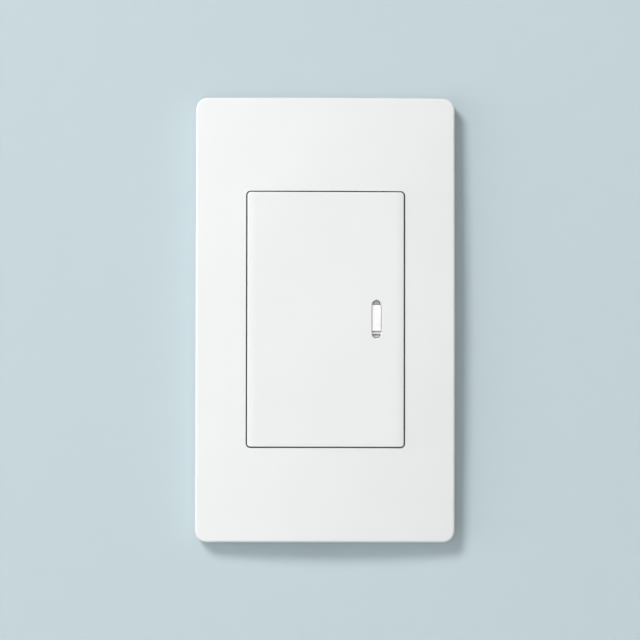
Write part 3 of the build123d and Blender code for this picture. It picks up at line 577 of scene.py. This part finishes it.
def polished_urea(name, colour, crown):
    """Satin white: slow orange peel, a fine grain, and a slow drift of gloss and shade."""
    material, place = new_material(name)
    peel = noise(place, 5 * MM, 2)
    fine = noise(place, 0.20 * MM, 2)
    drift = noise(place, 22 * MM, 3)
    shade = tuple(0.985 * channel for channel in colour[:3]) + (1,)
    set_shader(material, {
        "Base Color": mix(steps(drift, 0.3, 0.7), shade, colour),
        "Roughness": 0.31 + 0.05 * (drift - 0.5) + 0.04 * (fine - 0.5),
        "Specular IOR Level": 0.5,
        "Normal": bump(peel + 0.12 * fine, 1.5e-6, crown_normal(place, *crown)),
    })
    return material


WHITE = (0.84, 0.84, 0.84, 1)
coat(polished_urea("white_urea_cover", WHITE, COVER_CROWN), "cover_plate")
coat(polished_urea("white_urea_paddle", WHITE, PADDLE_CROWN), "paddle")


# ---------------------------------------------------------------- indicator
# A white afterglow strip lies on the floor of the paddle's pocket, under a clear polycarbonate lens. The
# lens is pressed in: its two D-shaped legs sit in blind sockets and show as a half-round at each end.
LEG_RADIUS = 1.1 * MM                     # of each leg's round side
# Each pair is where a rim of painted shade starts to come in and where it is whole.
ROUND_RIM = (LEG_RADIUS - 0.32 * MM, LEG_RADIUS - 0.12 * MM)     # from the middle of a foot's round side
FLAT_RIM = (0.32 * MM, 0.12 * MM)                    # from a foot's flat side
FOOT_LAYER = (-7.05 * MM, -6.85 * MM)                # depths in front of the feet, which lie at -6.65 mm
END_RIM = (-0.26 * MM, -0.16 * MM)                   # from the strip's lower end, below it
END_STEP = (0.0, -0.05 * MM)                         # and the sharp upper side of that rim
END_LAYER = (-7.65 * MM, -7.55 * MM)                 # depths in front of it


def afterglow():
    """White plastic full of pale pigment grains, with a painted glow that stands in for the lamplight the
    lens over it holds back.
    """
    material, place = new_material("afterglow_strip_painted_glow")
    grains = noise(place, 0.15 * MM, 2)
    pigment = mix(steps(grains, 0.4, 0.6), (0.90, 0.90, 0.89, 1), (0.94, 0.94, 0.93, 1))
    set_shader(material, {
        "Base Color": pigment,
        "Roughness": 0.5 + 0.1 * grains,
        # Painted light: the strip glows though it is no lamp, in place of the lamplight that the lens
        # blocks.
        "Emission Color": pigment,
        "Emission Strength": 0.10,
        "Normal": bump(grains, 4e-6),
    })
    return material


def clear_polycarbonate():
    """Clear and polished, with the faintest waviness from the mould. The rims of its legs' feet and a line
    below the strip's lower end carry painted shade, dark where the real lens sends the light aside. The
    alpha lets lamplight through to what lies behind."""
    material, place = new_material("clear_polycarbonate")
    low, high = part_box("indicator_lens")
    leg_height = high.z - (high.x - low.x) / 2
    wave = noise(place, 1.5 * MM, 2)
    x, depth, z = [place.node("SeparateXYZ", {}, {"Vector": place}, outlet=axis) for axis in range(3)]
    past_leg = z.maths("ABSOLUTE") - leg_height
    from_hub = place.node("CombineXYZ", {}, {"X": x - (low.x + high.x) / 2, "Y": past_leg})
    reach = from_hub.node("VectorMath", {"operation": "LENGTH"}, {0: from_hub}, outlet="Value")
    # Painted shade: dark rims round the feet and a dark line below the strip, where refraction sends the
    # light aside.
    foot = steps(reach, *ROUND_RIM).maths("MAXIMUM", steps(past_leg, *FLAT_RIM)) * steps(depth, *FOOT_LAYER)
    past_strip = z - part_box("luminous_strip")[0].z
    line = steps(past_strip, *END_RIM) * steps(past_strip, *END_STEP) * steps(depth, *END_LAYER)
    dark = foot.maths("MAXIMUM", line)
    set_shader(material, {
        "Base Color": mix(dark, (0.99, 0.99, 0.99, 1), (0.06, 0.06, 0.07, 1)),
        "Roughness": 0.03 + 0.03 * wave,
        "IOR": 1.585,
        "Transmission Weight": 1.0,
        "Alpha": 0.35 + 0.5 * dark,
        "Normal": bump(wave, 3e-6),
    })
    return material


coat(afterglow(), "luminous_strip")
coat(clear_polycarbonate(), "indicator_lens")


# ---------------------------------------------------------------- studio
# A pale wall, cut out round the plate base and seen only from the room's side, and a pale floor far
# below. One soft lamp is at the upper left, a broad one at the left, a weak one at the lower right, and
# one behind the wall, for the works.
def seen_directly(tree):
    """1 for camera, glossy and transmission rays, and 0 for the rays that carry light."""
    camera_ray = Flow(tree).node("LightPath", outlet="Is Camera Ray")
    outlets = camera_ray.socket.node.outputs
    glossy, through = Flow(tree, outlets["Is Glossy Ray"]), Flow(tree, outlets["Is Transmission Ray"])
    return (camera_ray + glossy + through).maths("MINIMUM", 1.0)


def stage_material(name, colour, glow=0.0):
    """Plain matt paint on the side that faces the room, and nothing at all on the other side. The glow
    lightens it for the eye alone."""
    material, place = new_material(name)
    tree = material.node_tree
    shader = tree.nodes["Principled BSDF"]
    tone = noise(place, 0.5, 2)
    darker = tuple(0.985 * channel for channel in colour[:3]) + (1,)
    set_shader(material, {
        "Base Color": mix(tone, darker, colour),
        "Roughness": 0.9,
        "Specular IOR Level": 0.1,
        "Emission Color": mix(seen_directly(tree), (0, 0, 0, 1), colour),
        "Emission Strength": glow,
    })
    behind = place.node("NewGeometry", outlet="Backfacing")
    clear = place.node("BsdfTransparent")
    shown = place.node("MixShader", {}, {"Fac": behind, 1: Flow(tree, shader.outputs[0]), 2: clear})
    tree.links.new(shown.socket, tree.nodes["Material Output"].inputs["Surface"])
    return material


def stage_sheet(name, points, faces, material):
    """One flat sheet of the stage."""
    mesh = bpy.data.meshes.new(name)
    mesh.from_pydata(points.tolist(), [], faces.tolist())
    mesh.materials.append(material)
    made = bpy.data.objects.new(name, mesh)
    bpy.context.scene.collection.objects.link(made)
    made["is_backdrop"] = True


def rectangle_radius(angle, half_width, above, below, corner=0.0):
    """Distance from the origin to a rectangle's edge in each direction. Where the ray meets a rounded
    corner it is the far root of |t d - c| = corner, for the direction d and the corner's centre c."""
    level, upward = np.abs(np.cos(angle)) + TINY, np.abs(np.sin(angle)) + TINY
    height = np.where(np.sin(angle) > 0, above, below)
    straight = np.minimum(half_width / level, height / upward)
    hub_x, hub_z = half_width - corner, height - corner
    towards = level * hub_x + upward * hub_z
    rounded_off = towards + np.sqrt(np.maximum(towards**2 - hub_x**2 - hub_z**2 + corner**2, 0))
    in_corner = (straight * level > hub_x) & (straight * upward > hub_z)
    return np.where(in_corner, rounded_off, straight)


FLOOR_Z = -0.36
ROOM = 3.0                                # half the room's width and depth, and the wall's top
WALL_CORNER = 2.9 * MM
WALL_RAYS = 720                           # round the cut-out
low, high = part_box("plate_base")
corners = np.arctan2([ROOM, ROOM, FLOOR_Z, FLOOR_Z], [ROOM, -ROOM, -ROOM, ROOM]) % tau
angle = np.sort(np.concatenate([np.linspace(0, tau, WALL_RAYS, endpoint=False), corners]))
hole = rectangle_radius(angle, high.x, high.z, -low.z, WALL_CORNER)
edge = rectangle_radius(angle, ROOM, ROOM, -FLOOR_Z)
rings = np.stack([hole, edge])[:, :, None] * np.stack([np.cos(angle), 0 * angle, np.sin(angle)], axis=-1)
inner = np.arange(len(angle))
outer = inner + len(angle)
faces = np.stack([outer, np.roll(outer, -1), np.roll(inner, -1), inner], axis=-1)
wall_paint = stage_material("wall_paint", (0.55, 0.645, 0.68, 1))
stage_sheet("wall", rings.reshape(-1, 3), faces, wall_paint)
floor = np.array([(-ROOM, -ROOM, FLOOR_Z), (ROOM, -ROOM, FLOOR_Z),
                  (ROOM, ROOM, FLOOR_Z), (-ROOM, ROOM, FLOOR_Z)])
floor_paint = stage_material("floor_paint", (0.72, 0.73, 0.73, 1), glow=0.30)
stage_sheet("floor", floor, np.array([(0, 1, 2, 3)]), floor_paint)


def soft_lamp(name, place, size, power):
    """Square area lamp at that place, turned to face the middle of the switch."""
    lamp = bpy.data.lights.new(name, "AREA")
    lamp.size = size
    lamp.energy = power
    made = bpy.data.objects.new(name, lamp)
    made.location = place
    made.rotation_mode = "QUATERNION"
    made.rotation_quaternion = made.location.to_track_quat("Z", "Y")
    made.visible_camera = False
    bpy.context.scene.collection.objects.link(made)


soft_lamp("key_lamp", (-1.20, -1.84, 1.40), 0.80, 42.5)
soft_lamp("side_lamp", (-1.90, -0.80, -0.25), 1.4, 13.0)
soft_lamp("fill_lamp", (1.60, -0.60, -0.80), 1.2, 4.0)
soft_lamp("back_lamp", (0.75, 1.00, 0.70), 0.9, 12.0)

world = bpy.data.worlds.new("studio")
world.use_nodes = True
bpy.context.scene.world = world
AMBIENT, SEEN = 0.41, 0.85                # the world's strength as a light, and to the eye
strength = AMBIENT + (SEEN - AMBIENT) * seen_directly(world.node_tree)
surroundings = world.node_tree.nodes["Background"]
surroundings.inputs["Color"].default_value = (1, 0.985, 0.975, 1)
world.node_tree.links.new(strength.socket, surroundings.inputs["Strength"])

# The camera stands well back in the room, a few centimetres to the left of the plate's middle and below
# it, and is turned on its axis by a hair. The far stand keeps the plate's sides nearly parallel.
CAMERA_DISTANCE = 1.2
CAMERA_LEFT, CAMERA_BELOW, CAMERA_ROLL = radians(1.8), radians(2.4), radians(0.08)
VIEW_WIDTH = 172.10 * MM                  # across the view, at the cover's front
AIM = Vector((-1.27, 0, 0.12)) * MM       # from the middle of the wall face
camera = bpy.data.cameras.new("camera")
camera.sensor_width = 36.0
camera.lens = camera.sensor_width * (CAMERA_DISTANCE + cad_box[0].y) / VIEW_WIDTH
viewer = bpy.data.objects.new("camera", camera)
stand = Vector((-sin(CAMERA_LEFT), -cos(CAMERA_LEFT) * cos(CAMERA_BELOW), -sin(CAMERA_BELOW)))
viewer.location = AIM + CAMERA_DISTANCE * stand
viewer.rotation_mode = "QUATERNION"
viewer.rotation_quaternion = stand.to_track_quat("Z", "Y") @ Quaternion((0, 0, 1), CAMERA_ROLL)
bpy.context.scene.collection.objects.link(viewer)
bpy.context.scene.camera = viewer
bpy.context.scene.view_settings.view_transform = "Standard"

sizes = {"cad": [list(corner) for corner in cad_box], "visual": [list(corner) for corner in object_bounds()]}
